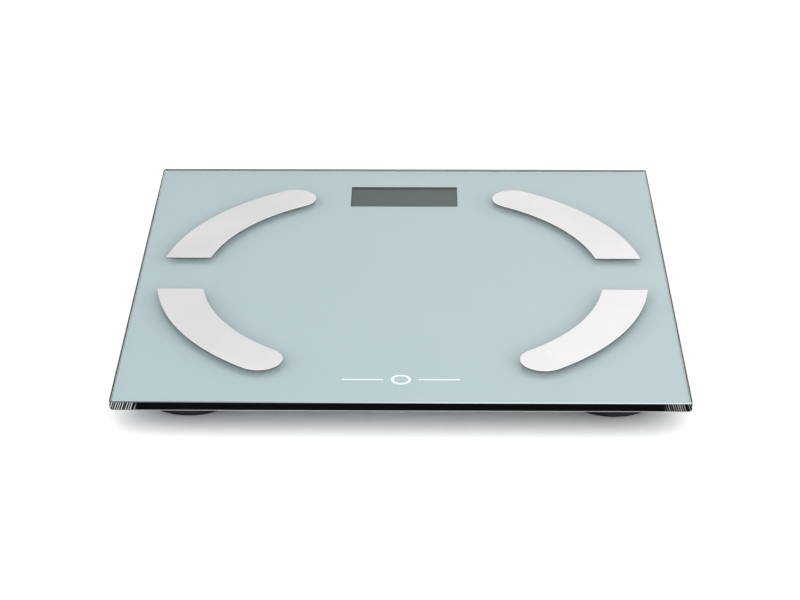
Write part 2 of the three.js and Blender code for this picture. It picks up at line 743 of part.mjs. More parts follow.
// Round button in the pod's floor, held in by a flange.
function unitButton() {
  const rim = BUTTON_RADIUS + BUTTON_FLANGE;
  const flangeBottom = podFloorTop + TOUCH;
  const face = podBottom + BUTTON_RECESS;
  return turned(
    SWITCH_X,
    switchY,
    [[0, face], [BUTTON_RADIUS, face], [BUTTON_RADIUS, flangeBottom], [rim, flangeBottom],
      [rim, buttonFlangeTop], [0, buttonFlangeTop]],
    24,
  );
}

add("pod_housing", podHousing(), materials.blackPlastic);
add("pod_seal_tape", podSealTape(), materials.tape);
add("lcd_panel", lcdPanel(), materials.lcd);
add("lcd_bezel_frame", lcdBezelFrame(), materials.greyPlastic);
add("zebra_strip", zebraStrip(), materials.silicone);
add("circuit_board", circuitBoard(), materials.board);
add("controller_chip", controllerChip(), materials.epoxy);
add("board_screw_left", boardScrew(-1), materials.nutSteel);
add("board_screw_right", boardScrew(1), materials.nutSteel);
add("coin_cell", coinCell(), materials.cellSteel);
add("cell_contact_positive", positiveContact(), materials.nickel);
add("cell_contact_negative", negativeContact(), materials.nickel);
add("tact_switch", tactSwitch(), materials.blackPlastic);
const plunger = disc(SWITCH_X, switchY, PLUNGER_RADIUS, buttonFlangeTop + HAIR, plungerTop);
add("switch_plunger", plunger, materials.greyPlastic);
add("unit_button", unitButton(), materials.greyPlastic);
add("battery_door", batteryDoor(), materials.blackPlastic);

// ---------------------------------------------------------------- foot modules

// Direction in which a load cell's lead leaves its foot, seen from the foot's centre.
function leadDirection({ side, end }) {
  return end > 0 ? new THREE.Vector3(-side, 0, 0) : new THREE.Vector3(-side * 0.6, 0.8, 0);
}

function footCentre({ side, end }) {
  return new THREE.Vector3(side * footX, end * footY, 0);
}

const padRadius = FOOT_RADIUS - PAD_MARGIN;
const capNeckRadius = FOOT_RADIUS - CAP_STEP;
const holderInner = FOOT_RADIUS + HOLDER_FIT;
const holderOuter = holderInner + HOLDER_WALL;
const holderLipInner = holderInner - HOLDER_LIP;
const leadHeight = (loadCellTop + loadCellBottom) / 2;
const clipBottom = HOLDER_FLOOR_CLEARANCE + HOLDER_LIP_HEIGHT + FOOT_PLAY + TOUCH;

// Cup that is taped under the glass and holds a load cell. Its lower lip keeps the foot in.
function footHolder(corner) {
  const centre = footCentre(corner);
  const cup = turned(centre.x, centre.y, [
    [0, holderPlateBottom], [holderInner, holderPlateBottom],
    [holderInner, HOLDER_FLOOR_CLEARANCE + HOLDER_LIP_HEIGHT],
    [holderLipInner, HOLDER_FLOOR_CLEARANCE + HOLDER_LIP_HEIGHT],
    [holderLipInner, HOLDER_FLOOR_CLEARANCE], [holderOuter, HOLDER_FLOOR_CLEARANCE],
    [holderOuter, holderTop], [0, holderTop],
  ]);
  const seatX = (LOAD_CELL_SIDE - CELL_SEAT_WIDTH) / 2 - 0.5;
  const half = LOAD_CELL_SIDE / 2 - LOAD_CELL_CORNER;
  const seats = [-1, 1].map((side) => {
    const x = centre.x + side * seatX;
    return block(
      x - CELL_SEAT_WIDTH / 2, x + CELL_SEAT_WIDTH / 2, centre.y - half, centre.y + half,
      loadCellTop + TOUCH, holderPlateBottom + 0.5,
    );
  });
  const exit = LOAD_LEAD_RADIUS + FREE;
  const direction = leadDirection(corner);
  const notch = block(
    holderInner - 1, holderOuter + 1, -exit, exit, leadHeight - exit, leadHeight + exit,
  );
  notch.rotateZ(Math.atan2(direction.y, direction.x)).translate(centre.x, centre.y, 0);
  return cut(join(cup, ...seats), notch);
}

// Stamped steel load cell: an outer frame with a tongue that the foot pushes on.
function loadCell(corner) {
  const centre = footCentre(corner);
  const outline = roundedRectangle(
    new THREE.Shape(), centre.x, centre.y, LOAD_CELL_SIDE, LOAD_CELL_SIDE, LOAD_CELL_CORNER,
  );
  const outer = LOAD_CELL_SIDE / 2 - LOAD_CELL_FRAME;
  const inner = outer - LOAD_CELL_SLOT;
  const point = (x, y) => new THREE.Vector2(centre.x + x, centre.y + corner.end * y);
  const slot = new THREE.Path([
    point(-outer, outer), point(-outer, -outer), point(outer, -outer), point(outer, outer),
    point(inner, outer), point(inner, -inner), point(-inner, -inner), point(-inner, outer),
    point(-outer, outer),
  ]);
  outline.holes.push(slot);
  return slab(outline, loadCellBottom, loadCellTop, 3);
}

// Foot that stands on the floor and pushes on the load cell with its centre boss.
function footCap(corner) {
  const centre = footCentre(corner);
  const floorTop = PAD_THICKNESS + TOUCH + CAP_FLOOR_THICKNESS;
  const clipTop = clipBottom + CAP_CLIP_HEIGHT;
  const clipRadius = holderInner - FREE;
  const recess = padRadius + PAD_FIT;
  const bossTop = loadCellBottom - TOUCH;
  return turned(centre.x, centre.y, [
    [0, PAD_THICKNESS + TOUCH], [recess, PAD_THICKNESS + TOUCH], [recess, capBottom],
    [FOOT_RADIUS - EDGE_BREAK, capBottom], [FOOT_RADIUS, capBottom + EDGE_BREAK], [FOOT_RADIUS, capBaseTop],
    [capNeckRadius, capBaseTop], [capNeckRadius, clipBottom],
    [clipRadius, clipBottom], [clipRadius, clipTop],
    [capNeckRadius - CAP_WALL, clipTop], [capNeckRadius - CAP_WALL, floorTop],
    [CAP_BOSS_RADIUS + 1, floorTop], [CAP_BOSS_RADIUS, bossTop], [0, bossTop],
  ]);
}

// Rubber pad under the foot.
function footPad(corner) {
  const centre = footCentre(corner);
  return turned(centre.x, centre.y, [
    [0, 0], [padRadius - EDGE_BREAK, 0], [padRadius, EDGE_BREAK],
    [padRadius, PAD_THICKNESS], [0, PAD_THICKNESS],
  ]);
}

for (const corner of corners) {
  const centre = footCentre(corner);
  const tape = disc(centre.x, centre.y, holderOuter - 1, holderTop, filmBottom);
  add(`foot_holder_${corner.name}`, footHolder(corner), materials.blackPlastic);
  add(`foot_holder_tape_${corner.name}`, tape, materials.tape);
  add(`load_cell_${corner.name}`, loadCell(corner), materials.loadCellSteel);
  add(`foot_cap_${corner.name}`, footCap(corner), materials.blackPlastic);
  add(`foot_pad_${corner.name}`, footPad(corner), materials.rubber);
}

// ---------------------------------------------------------------- wiring

const channelFloorTop = filmBottom - TOUCH - CHANNEL_DEPTH;
const laneHeight = channelFloorTop + CHANNEL_DEPTH / 2;
const notchHeight = podTop - 1.5;

// Where each lead lands on the circuit board, counted from the front of the pod's notch.
const padY = {
  load_front: notchFront + 1.7,
  electrode_front: notchFront + 4.7,
  electrode_rear: notchFront + 7.4,
  load_rear: notchFront + 10.6,
};

// The last stretch of every lead: through the pod's notch and down to its pad.
function podEntry(side, y, radius) {
  return [
    new THREE.Vector3(side * (POD_HALF_WIDTH + 8), y, laneHeight),
    new THREE.Vector3(side * (podWallX - POD_WALL - 0.5), y, notchHeight),
    new THREE.Vector3(side * leadPadX, y, boardTop + radius + TOUCH),
  ];
}

// The stretch inside the wire channel.
function channelRun(side, lane) {
  const x = side * (channelX + lane);
  return [
    new THREE.Vector3(x, channelFront - 6, laneHeight),
    new THREE.Vector3(x, channelRear + 4, laneHeight),
  ];
}

function loadCellLead(corner) {
  const { side, end } = corner;
  const direction = leadDirection(corner);
  const edge = LOAD_CELL_SIDE / 2 / Math.max(Math.abs(direction.x), Math.abs(direction.y)) + 2 * FREE;
  const from = (distance) =>
    footCentre(corner).addScaledVector(direction, distance).setZ(leadHeight);
  const start = [from(edge), from(holderOuter + 3)];
  const y = end > 0 ? padY.load_rear : padY.load_front;
  const run = end > 0 ? [] : channelRun(side, -LANE_SPREAD);
  return wire([...start, ...run, ...podEntry(side, y, LOAD_LEAD_RADIUS)], LOAD_LEAD_RADIUS);
}

// A ring terminal under the electrode's nut, with its wire to the board.
function electrodeLead(corner) {
  const { side, end } = corner;
  const stud = studAt(corner);
  const direction = end > 0 ? new THREE.Vector3(-0.8 * side, 0.6, 0) : new THREE.Vector3(-side, 0, 0);
  const leadZ = terminalTop - ELECTRODE_LEAD_RADIUS - HAIR;
  const from = (distance) =>
    new THREE.Vector3(stud.x, stud.y, leadZ).addScaledVector(direction, distance);
  const tab = block(1, TERMINAL_TAB_LENGTH, -1.5, 1.5, terminalBottom, terminalTop);
  tab.rotateZ(Math.atan2(direction.y, direction.x)).translate(stud.x, stud.y, 0);
  const ring = disc(stud.x, stud.y, TERMINAL_RADIUS, terminalBottom, terminalTop);
  const hole = disc(stud.x, stud.y, STUD_RADIUS + TERMINAL_FIT, terminalBottom - 1, terminalTop + 1);
  const start = [from(TERMINAL_TAB_LENGTH - 2), from(TERMINAL_TAB_LENGTH + 6)];
  const run = end > 0
    ? [new THREE.Vector3(side * (channelX + 10), channelRear + 8, laneHeight)]
    : channelRun(side, LANE_SPREAD);
  const y = end > 0 ? padY.electrode_rear : padY.electrode_front;
  const lead = wire([...start, ...run, ...podEntry(side, y, ELECTRODE_LEAD_RADIUS)], ELECTRODE_LEAD_RADIUS);
  return join(cut(join(ring, tab), hole), lead);
}

// Open raceway stuck under the film, which keeps the long leads in place.
function wireChannel(side) {
  const x = side * channelX;
  const inner = CHANNEL_INNER_WIDTH / 2;
  const outer = inner + CHANNEL_WALL;
  const top = filmBottom - TOUCH;
  return cut(
    block(x - outer, x + outer, channelFront, channelRear, channelFloorTop - CHANNEL_WALL, top),
    block(x - inner, x + inner, channelFront - 1, channelRear + 1, channelFloorTop, top + 1),
  );
}

for (const corner of corners) {
  add(`load_cell_lead_${corner.name}`, loadCellLead(corner), materials.whiteWire);
  add(`electrode_lead_${corner.name}`, electrodeLead(corner), materials.redWire);
}
add("wire_channel_left", wireChannel(-1), materials.greyPlastic);
add("wire_channel_right", wireChannel(1), materials.greyPlastic);

export default scale;
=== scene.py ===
# %% [markdown]
# # A slim glass bathroom scale
# The scale is a square of clear glass that stands on four low feet. Its colour is a print behind
# the glass, so the steel electrodes stand proud of that colour and cast soft shadows down onto it.
# The frame that is loaded here holds every part at its real place, and this lesson gives the parts
# their fine shapes and their finishes.

# %% Load the frame
import json
import math

import bmesh
import bpy
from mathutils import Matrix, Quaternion, Vector

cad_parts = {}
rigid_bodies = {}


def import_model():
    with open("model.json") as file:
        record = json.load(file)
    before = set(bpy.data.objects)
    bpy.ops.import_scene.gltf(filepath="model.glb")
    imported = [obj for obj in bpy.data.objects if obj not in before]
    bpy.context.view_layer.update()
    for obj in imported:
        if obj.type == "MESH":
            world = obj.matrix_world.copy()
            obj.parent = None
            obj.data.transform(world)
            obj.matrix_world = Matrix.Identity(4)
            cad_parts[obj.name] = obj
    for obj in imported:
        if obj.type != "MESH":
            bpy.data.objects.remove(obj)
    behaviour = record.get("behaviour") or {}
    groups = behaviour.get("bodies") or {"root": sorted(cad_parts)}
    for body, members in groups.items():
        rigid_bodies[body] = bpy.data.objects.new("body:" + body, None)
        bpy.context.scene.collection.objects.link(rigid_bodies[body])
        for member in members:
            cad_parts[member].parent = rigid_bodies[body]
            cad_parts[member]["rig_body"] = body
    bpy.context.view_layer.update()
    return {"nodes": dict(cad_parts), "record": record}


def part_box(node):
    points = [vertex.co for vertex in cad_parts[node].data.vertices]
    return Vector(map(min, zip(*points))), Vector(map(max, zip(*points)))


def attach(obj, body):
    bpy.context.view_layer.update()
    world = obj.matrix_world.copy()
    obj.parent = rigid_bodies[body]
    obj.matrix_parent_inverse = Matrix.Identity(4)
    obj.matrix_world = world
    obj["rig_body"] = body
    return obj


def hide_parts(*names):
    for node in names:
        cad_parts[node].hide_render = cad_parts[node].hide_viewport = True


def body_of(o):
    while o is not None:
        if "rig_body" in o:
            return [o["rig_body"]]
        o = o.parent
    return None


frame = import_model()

MM = 0.001
nodes = frame["nodes"]
scene = bpy.context.scene
CORNERS = ("rear_left", "rear_right", "front_left", "front_right")

# %% [markdown]
# ## The camera
# Someone who walks up to the scale sees it from well above the floor, and from far enough away
# that the far edge looks only a quarter narrower than the near one. A long lens at more than a
# metre does that. Depth of field stays off, so that the whole platform is sharp.

# %% Place the camera
CAMERA_PLACE = Vector((10.4, -1252.2, 630.2)) * MM
CAMERA_TARGET = Vector((-1.3, -32.4, 20.0)) * MM
CAMERA_ROLL = math.radians(-0.078)
FOCAL_LENGTH = 110.4
SENSOR_WIDTH = 36

lens = bpy.data.cameras.new("camera")
lens.lens = FOCAL_LENGTH
lens.sensor_width = SENSOR_WIDTH
camera = bpy.data.objects.new("camera", lens)
scene.collection.objects.link(camera)
aim = (CAMERA_TARGET - CAMERA_PLACE).to_track_quat("-Z", "Y") @ Quaternion((0, 0, 1), CAMERA_ROLL)
camera.location = CAMERA_PLACE
camera.rotation_euler = aim.to_euler()
scene.camera = camera
print("camera", round((CAMERA_TARGET - CAMERA_PLACE).length, 3), "m from the scale")

# %% [markdown]
# ## Shader maths as plain sums
# A finish is a tree of nodes. Written out node by node, a simple sum takes ten lines, so one small
# class wraps a socket and turns Python's operators into Math nodes. Everything that isn't a sum
# comes from one method, `node`, which takes the node's type, its settings and its inputs.

# %% A signal and a graph
class Signal:
    """The output of a node, which can be used in sums."""

    def __init__(self, graph, socket):
        self.graph = graph
        self.socket = socket

    def math(self, operation, *others):
        """Any other sum that the Math node knows."""
        values = {i: other for i, other in enumerate((self, *others))}
        return self.graph.node("Math", values, operation=operation)

    def __add__(self, other):
        return self.math("ADD", other)

    def __sub__(self, other):
        return self.math("SUBTRACT", other)

    def __rsub__(self, other):
        return self.graph.node("Math", {0: other, 1: self}, operation="SUBTRACT")

    def __mul__(self, other):
        return self.math("MULTIPLY", other)

    def __gt__(self, other):
        return self.math("GREATER_THAN", other)

    def __lt__(self, other):
        return self.math("LESS_THAN", other)

    def __abs__(self):
        return self.math("ABSOLUTE")

    __radd__ = __add__
    __rmul__ = __mul__

    def step(self, low, high, start=0.0, end=1.0):
        """Runs smoothly from start to end while the signal runs from low to high."""
        values = {"Value": self, "From Min": low, "From Max": high, "To Min": start, "To Max": end}
        return self.graph.node("MapRange", values, interpolation_type="SMOOTHSTEP")


class Graph:
    """A node tree that is built by method calls."""

    def __init__(self, tree):
        self.tree = tree

    def feed(self, socket, value):
        """Links a signal to the socket, or writes a plain value on it."""
        if isinstance(value, Signal):
            self.tree.links.new(value.socket, socket)
        else:
            socket.default_value = value

    def node(self, kind, inputs=(), out=0, **settings):
        """Adds a node with these settings and inputs, and gives back one of its outputs."""
        made = self.tree.nodes.new("ShaderNode" + kind)
        for name, value in settings.items():
            setattr(made, name, value)
        for key, value in dict(inputs).items():
            self.feed(made.inputs[key], value)
        return Signal(self, made.outputs[out])

    def blend(self, factor, first, second):
        """A colour that goes from first to second as the factor goes from 0 to 1."""
        return self.node("Mix", {0: factor, 6: first, 7: second}, out=2, data_type="RGBA")

    def numbers(self, vector):
        """The three numbers of a vector."""
        split = self.tree.nodes.new("ShaderNodeSeparateXYZ")
        self.feed(split.inputs[0], vector)
        return [Signal(self, output) for output in split.outputs]


class Look(Graph):
    """A material with one Principled shader."""

    def __init__(self, name, **settings):
        self.material = bpy.data.materials.new(name)
        self.material.use_nodes = True
        super().__init__(self.material.node_tree)
        self.shader = self.tree.nodes["Principled BSDF"]
        self.output = self.tree.nodes["Material Output"]
        for key, value in settings.items():
            self.set(key.replace("_", " ").title().replace("Ior", "IOR"), value)

    def set(self, name, value):
        """Sets or links an input of the shader."""
        if isinstance(value, tuple) and len(value) == 3:
            value = (*value, 1.0)
        self.feed(self.shader.inputs[name], value)

    def place(self):
        """Where a point lies on the piece, in metres along X, Y and Z."""
        return self.numbers(self.node("TexCoord", out="Object"))

    def levelness(self, kind="True Normal"):
        """1 where the surface lies level and 0 where it stands upright."""
        return abs(self.numbers(self.node("NewGeometry", out=kind))[2])

    def noise(self, size, detail=2.0, stretch=(1, 1, 1), roughness=0.5):
        """Soft random spots of about this size in metres, longer along an axis with a big stretch."""
        point = self.node("TexCoord", out="Object")
        scale = tuple(1 / (size * s) for s in stretch)
        moved = self.node("Mapping", {"Vector": point, "Scale": scale})
        inputs = {"Vector": moved, "Scale": 1.0, "Detail": detail, "Roughness": roughness}
        return self.node("TexNoise", inputs)

    def bump(self, height, depth):
        """Raises the surface by depth metres where the height is 1."""
        self.set("Normal", self.node("Bump", {"Height": height, "Distance": depth}))


print("shader helpers ready")

# %% [markdown]
# ## Floor and light
# The scale stands on a plain white floor, in soft light that comes from all of the sky, as in a
# white tent. That is what makes the soft shadows: they only lie where the platform hides the sky.
# The light is painted on the world, because a light without a place shines evenly on the whole
# floor. Glass mirrors what stands opposite, so the tent is dimmer near its horizon, and most of
# all behind the scale: otherwise the mirrored light would wash out the print's colour. It is
# brighter straight ahead of the near edge, so that some light reaches in under there, and a little
# brighter on the right than on the left. All of this depends on how far a direction points to the
# right, to the rear or up, as numbers from -1 to 1. The floor is a very little warm, because the
# light that comes back to it from the print is cold. A pale shell round the scene is what the
# camera sees behind the floor, and no ray of light meets it.

# %% Floor, shell and light
FLOOR_SIZE = 16.0
FLOOR_WHITE = (0.890, 0.880, 0.872)
SHELL_RADIUS = 7.5
SHELL_GLOW = 0.99
SKY_STRENGTH = 1.86
SIDE_SLOPE = 0.10
LOW_GAIN = 1.35
LOW_SLOPE = 0.6
# the dim part behind the scale: how much it takes away, and between which directions it fades
LEFT_DIP = 0.86
RIGHT_DIP = 0.74
DIP_TURN = (-0.15, 0.15)
DIP_SIDES = (0.2, 0.75)
DIP_TOP = (0.47, 0.68)
DIP_FOOT = (0.1, 0.36)
# the dim horizon, which opens straight ahead, and the fill above it
HORIZON = 0.27
HORIZON_HEIGHT = (0.17, 0.47)
AHEAD = (0.82, 0.97)
FRONT_FILL = 0.4
FILL_SIDES = (0.2, 0.8)
FILL_HEIGHT = (0.28, 0.45)


def stage_piece(piece, look):
    """Gives a piece of the stage, which is not part of the scale, its finish."""
    piece.data.materials.append(look.material)


bpy.ops.object.select_all(action="DESELECT")
bpy.ops.mesh.primitive_plane_add(size=FLOOR_SIZE, location=(0, 0, -0.02 * MM))
floor = bpy.context.object
floor.name = "floor"
floor_look = Look("floor white", Base_Color=FLOOR_WHITE, Roughness=0.9)
floor_look.set("Specular IOR Level", 0.0)
stage_piece(floor, floor_look)

bpy.ops.mesh.primitive_uv_sphere_add(segments=48, ring_count=24, radius=SHELL_RADIUS)
shell = bpy.context.object
shell.name = "shell"
shell_look = Look("shell white", Base_Color=(0, 0, 0), Roughness=1.0)
shell_look.set("Emission Color", (1, 1, 1))
shell_look.set("Emission Strength", SHELL_GLOW)
shell_look.set("Specular IOR Level", 0.0)
stage_piece(shell, shell_look)
for ray in ("diffuse", "glossy", "transmission", "shadow", "volume_scatter"):
    setattr(shell, "visible_" + ray, False)

world = bpy.data.worlds.new("studio")
scene.world = world
world.use_nodes = True
sky = Graph(world.node_tree)
backdrop = world.node_tree.nodes["Background"]
backdrop.inputs["Color"].default_value = (1, 1, 1, 1)
right, rear, up = sky.numbers(sky.node("TexCoord", out="Generated"))
front = rear * -1
dip = rear.step(*DIP_SIDES) * up.step(*DIP_TOP, 1.0, 0.0) * up.step(*DIP_FOOT)
dip = dip * right.step(*DIP_TURN, LEFT_DIP, RIGHT_DIP)
horizon = up.step(*HORIZON_HEIGHT, HORIZON, 1.0).math("MAXIMUM", front.step(*AHEAD))
fill = front.step(*FILL_SIDES) * up.step(*FILL_HEIGHT) * FRONT_FILL + 1
slope = (right * SIDE_SLOPE + 1) * (LOW_GAIN - up * LOW_SLOPE)
glow = (1 - dip) * slope * horizon * fill * SKY_STRENGTH
sky.feed(backdrop.inputs["Strength"], glow)
scene.view_settings.view_transform = "Standard"
print("floor, shell and light ready")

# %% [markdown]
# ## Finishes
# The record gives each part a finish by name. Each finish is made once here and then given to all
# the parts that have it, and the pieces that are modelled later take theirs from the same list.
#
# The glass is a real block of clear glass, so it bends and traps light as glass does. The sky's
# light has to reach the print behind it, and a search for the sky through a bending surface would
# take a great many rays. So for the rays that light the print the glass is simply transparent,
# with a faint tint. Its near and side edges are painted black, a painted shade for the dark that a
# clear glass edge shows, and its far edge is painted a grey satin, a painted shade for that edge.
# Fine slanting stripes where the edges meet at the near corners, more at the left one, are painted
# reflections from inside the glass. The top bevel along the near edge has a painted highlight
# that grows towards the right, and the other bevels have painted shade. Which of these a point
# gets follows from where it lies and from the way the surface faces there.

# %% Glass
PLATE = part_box("glass_platform")
HALF_SIDE = PLATE[1][0]
GLASS_MIDDLE = (PLATE[0][2] + PLATE[1][2]) / 2
EDGE_BAND = 1.5 * MM
# painted reflections: slanting stripes at the near corners, how far they reach, their pitch, slant,
# grain, unevenness, edge, raggedness and fade, and how faint they are at the right
CORNER_REFLECTIONS = 13.5 * MM
REFLECTION_PITCH = 1.15 * MM
REFLECTION_SLANT = 0.35
REFLECTION_GRAIN = 0.9 * MM
REFLECTION_UNEVENNESS = 4.0
REFLECTION_EDGE = (0.1, 0.5)
REFLECTION_RAGGED = 3 * MM
REFLECTION_FADE = 4 * MM
RIGHT_REFLECTIONS = 0.5
# a painted highlight along the near top bevel: where it grows, and from which strength to which
HIGHLIGHT_REACH = (10 * MM, 190 * MM)
HIGHLIGHT_STRENGTHS = (0.10, 0.62)
LEVEL_FACE = 0.95
UPRIGHT_FACE = 0.2
# painted shade for the near, side and far edges, the colour of the painted reflections, and painted
# shade and highlight for the bevels
PAINTED_EDGE_SHADE = (0.002, 0.002, 0.002, 1.0)
FAR_EDGE_PAINTED_SHADE = (0.20, 0.24, 0.235, 1.0)
PAINTED_REFLECTION_WHITE = (0.42, 0.43, 0.43, 1.0)
PAINTED_BEVEL_SHADE = (0.012, 0.015, 0.014, 1.0)
PAINTED_BEVEL_HIGHLIGHT = (0.80, 0.84, 0.84, 1.0)
GLASS_TINT = (0.955, 0.985, 0.975, 1.0)


def let_light_through(look, surface, tint):
    """Rays that light what lies behind the glass go straight through it."""
    clear = look.node("BsdfTransparent", {"Color": tint})
    for kind in ("Is Shadow Ray", "Is Diffuse Ray"):
        path = look.node("LightPath", out=kind)
        surface = look.node("MixShader", {0: path, 1: surface, 2: clear})
    return surface


clear_glass = Look("clear glass", Base_Color=(0.985, 1.0, 0.995), Roughness=0.0, IOR=1.5)
clear_glass.set("Transmission Weight", 1.0)
clear = Signal(clear_glass, clear_glass.shader.outputs[0])

x, y, z = clear_glass.place()
level = clear_glass.levelness("Normal")
rim = abs(x).math("MAXIMUM", abs(y)) > HALF_SIDE - EDGE_BAND
near = y < -HALF_SIDE + EDGE_BAND
far = y > HALF_SIDE - EDGE_BAND
edge_faces = rim * (1 - (level > LEVEL_FACE))
bevel = edge_faces * (level > UPRIGHT_FACE)

slant = x + (z * REFLECTION_SLANT) * x.math("SIGN")
along = clear_glass.node("CombineXYZ", {0: slant, 1: 0.0, 2: 0.0})
wobble = clear_glass.node("TexNoise", {"Vector": along, "Scale": 1 / REFLECTION_GRAIN, "Detail": 3.0})
stripes = (slant * (2 * math.pi / REFLECTION_PITCH)).math("SINE") * 0.5
stripes = stripes + (wobble - 0.5) * REFLECTION_UNEVENNESS
reflections_end = HALF_SIDE - CORNER_REFLECTIONS
reach = (abs(x) + wobble * REFLECTION_RAGGED).step(reflections_end, reflections_end + REFLECTION_FADE)
# marks are the painted reflections at the near corners, fainter at the right
marks = stripes.step(*REFLECTION_EDGE) * reach * near * x.step(-REFLECTION_FADE, REFLECTION_FADE, 1.0, RIGHT_REFLECTIONS)
# a painted highlight along the near top bevel, stronger towards the right
painted_highlight = (x + HALF_SIDE).step(*HIGHLIGHT_REACH, *HIGHLIGHT_STRENGTHS)
# the edge colour is painted light and shade: painted shade on the edges, painted reflections at the
# near corners, and painted shade and highlight on the bevels
painted_edge_colour = clear_glass.blend(marks, PAINTED_EDGE_SHADE, PAINTED_REFLECTION_WHITE)
painted_edge_colour = clear_glass.blend(far, painted_edge_colour, FAR_EDGE_PAINTED_SHADE)
painted_bevel_colour = clear_glass.blend(near * (z > GLASS_MIDDLE) * painted_highlight, PAINTED_BEVEL_SHADE, PAINTED_BEVEL_HIGHLIGHT)
painted_edge_colour = clear_glass.blend(bevel, painted_edge_colour, painted_bevel_colour)
edge_inputs = {"Base Color": painted_edge_colour, "Roughness": 0.3, "Specular IOR Level": 0.012}
painted_edge_look = clear_glass.node("BsdfPrincipled", edge_inputs)
surface = clear_glass.node("MixShader", {0: edge_faces, 1: clear, 2: painted_edge_look})
surface = let_light_through(clear_glass, surface, GLASS_TINT)
clear_glass.feed(clear_glass.output.inputs["Surface"], surface)
print("glass", round(2 * HALF_SIDE / MM), "mm wide")

# %% [markdown]
# The print is a pale grey-green ink on a thin film. It's even, with only the faintest clouds that
# a screen print has, and a fine matt grain. Near the user's side it carries a plain ornament, a
# ring between two thin lines, which is worked out from the distance to its centre. A strip along
# the left and right edges is painted as dark as the glass's painted black edge, a painted shade,
# and the film's cut edge round the display's window is painted dark, a painted shade for the
# shadow that falls there.

# %% Print with a plain ornament
INK = (0.345, 0.415, 0.442, 1.0)
INK_CLOUD = (0.359, 0.429, 0.460, 1.0)
ORNAMENT_WHITE = (0.86, 0.93, 0.93, 1.0)
ORNAMENT_Y = -121.5 * MM
RING_RADIUS = 4.6 * MM
RING_LINE = 1.3 * MM
BAR_START = 9.5 * MM
BAR_END = 31 * MM
BAR_LINE = 1.1 * MM
SOFT = 0.08 * MM
CLOUD_SIZE = 90 * MM
INK_GRAIN = 0.25 * MM
INK_RELIEF = 0.004 * MM
# painted shade: the film's cut edge round the display's window is painted dark
WINDOW_REACH = 40 * MM
PAINTED_WINDOW_SHADE = (0.01, 0.012, 0.012, 1.0)
# painted shade: a strip along the left and right edges is painted as dark as the glass's painted black
# edge
SHADE_MARGIN_WIDTH = 0.88 * MM
PAINTED_MARGIN_SHADE = (0.03, 0.036, 0.035, 1.0)

backing_print = Look("backing print", Roughness=0.5)
x, y, z = backing_print.place()
from_middle = y - ORNAMENT_Y
radius = (x * x + from_middle * from_middle).math("SQRT")
ring = abs(radius - RING_RADIUS).step(RING_LINE / 2 - SOFT, RING_LINE / 2 + SOFT, 1.0, 0.0)
bar_x = abs(abs(x) - (BAR_START + BAR_END) / 2)
bar = bar_x.step((BAR_END - BAR_START) / 2 - SOFT, (BAR_END - BAR_START) / 2 + SOFT, 1.0, 0.0)
bar = bar * abs(from_middle).step(BAR_LINE / 2 - SOFT, BAR_LINE / 2 + SOFT, 1.0, 0.0)
clouds = backing_print.noise(CLOUD_SIZE, detail=1.0)
ink = backing_print.blend(clouds, INK, INK_CLOUD)
print_and_painted_shade = backing_print.blend(ring.math("MAXIMUM", bar), ink, ORNAMENT_WHITE)
# painted shade along the left and right edges
print_and_painted_shade = backing_print.blend(abs(x) > HALF_SIDE - SHADE_MARGIN_WIDTH, print_and_painted_shade, PAINTED_MARGIN_SHADE)
cut_edge = backing_print.levelness() < 0.5
at_window = (abs(x) < WINDOW_REACH) * (y > 0.0) * (y < HALF_SIDE - EDGE_BAND)
# the film's cut edge at the window gets a painted shade
backing_print.set("Base Color", backing_print.blend(cut_edge * at_window, print_and_painted_shade, PAINTED_WINDOW_SHADE))
backing_print.bump(backing_print.noise(INK_GRAIN), INK_RELIEF)
print("print ready")

# %% [markdown]
# The metals differ in how they were worked. The electrodes are brushed along X, which draws their
# highlights out the other way. Their colour gets a painted highlight that brightens it towards the
# right, and their upright walls are painted dark, a painted shade. Stamped and plated parts only
# have a fine, even roughness. A scratch pattern is noise that is stretched a hundred times along
# the brushing.

# %% Metals
def metal(name, colour, roughness, spread=0.08, size=0.3 * MM, stretch=(1, 1, 1), depth=0.0):
    """Metal whose roughness varies by spread over marks of this size."""
    look = Look(name, Base_Color=colour, Metallic=1.0)
    marks = look.noise(size, detail=4.0, stretch=stretch, roughness=0.7)
    look.set("Roughness", marks.step(0.2, 0.8, roughness - spread, roughness + spread))
    if depth:
        look.bump(marks, depth)
    return look


BRUSHED = (120, 1, 1)
# painted shade for the electrodes' upright walls
PAINTED_WALL_SHADE = (0.16, 0.16, 0.165, 1.0)
# a painted highlight: the steel's colour runs from the dimmer to the brighter one towards the right,
# with random tone as well
STEEL_PAINTED_DIMMER = (0.825, 0.815, 0.82, 1.0)
STEEL_PAINTED_BRIGHTER = (0.955, 0.94, 0.95, 1.0)
SHEEN_SIZE = 40 * MM
SHEEN_SHARE = 0.35
PAINTED_LIGHT_REACH = 130 * MM
electrode_steel = metal("brushed steel", (0.9, 0.9, 0.9), 0.40, 0.06, 0.12 * MM, BRUSHED, 0.001 * MM)
sheen = electrode_steel.noise(SHEEN_SIZE).step(0.3, 0.7)
x = electrode_steel.place()[0]
# random tone, and a painted highlight that brightens the steel towards the right
tone_and_painted_light = sheen * SHEEN_SHARE + x.step(-PAINTED_LIGHT_REACH, PAINTED_LIGHT_REACH) * (1 - SHEEN_SHARE)
flat_steel_painted_light = electrode_steel.blend(tone_and_painted_light, STEEL_PAINTED_DIMMER, STEEL_PAINTED_BRIGHTER)
flat = electrode_steel.levelness().step(0.25, 0.75)
